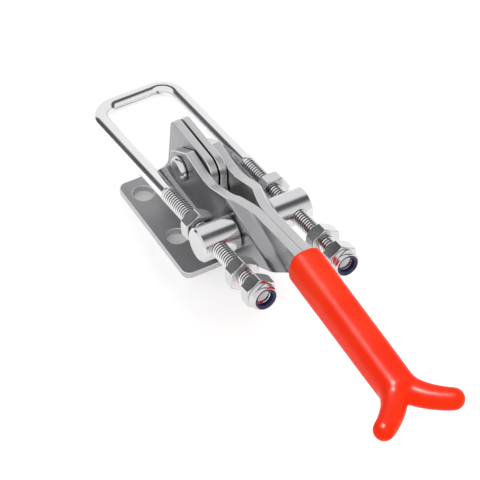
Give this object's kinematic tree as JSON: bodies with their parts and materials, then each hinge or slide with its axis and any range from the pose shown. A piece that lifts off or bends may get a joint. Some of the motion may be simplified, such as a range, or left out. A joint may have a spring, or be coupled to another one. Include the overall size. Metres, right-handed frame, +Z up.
{
  "type": "latch-type toggle clamp",
  "caption": "Pull-action latch toggle clamp in stainless steel, with an adjustable U-bolt, folded base plates and a forked red dipped grip.",
  "frame": {"origin": "centre of the base's fixing holes, on the mounting face", "axes": "+X towards the grip, +Z up from the mounting face, and the plane Y = 0 is the plane of symmetry"},
  "size_m": [0.2345, 0.0516, 0.0492],
  "materials": {
    "sheet": "satin",
    "bright": "bright turned",
    "vinyl": "glossy",
    "nylon": "matte"
  },
  "bodies": {
    "base": {"base_left": "sheet", "base_right": "sheet", "pivot_rivet": "bright"},
    "handle": {"handle_left": "sheet", "handle_right": "sheet", "grip": "vinyl"},
    "trunnion": {"trunnion_left": "bright", "trunnion_right": "bright"},
    "hook": {"u_bolt": "bright", "front_nut_left": "bright", "front_nut_right": "bright", "rear_nut_left": "bright", "rear_nut_right": "bright", "lock_nut_left": "bright", "lock_nut_right": "bright", "nylon_ring_left": "nylon", "nylon_ring_right": "nylon"}
  },
  "joints": [
    {"name": "handle_pivot", "type": "hinge", "parent": "base", "child": "handle", "pos_m": [0, 0, 0.0252], "axis": [0, -1, 0], "range_deg": [0, 120]},
    {"name": "hook_swing", "type": "hinge", "parent": "handle", "child": "trunnion", "pos_m": [0.044, 0, 0.0272], "axis": [0, -1, 0], "range_deg": [-120, 0]},
    {"name": "hook_slide", "type": "slide", "parent": "trunnion", "child": "hook", "axis": [0.9912, 0, 0.1323], "range_m": [-0.014, 0.0009]}
  ],
  "couplings": [
    {"joint": "hook_swing", "follows": "handle_pivot", "ratio": -1}
  ]
}
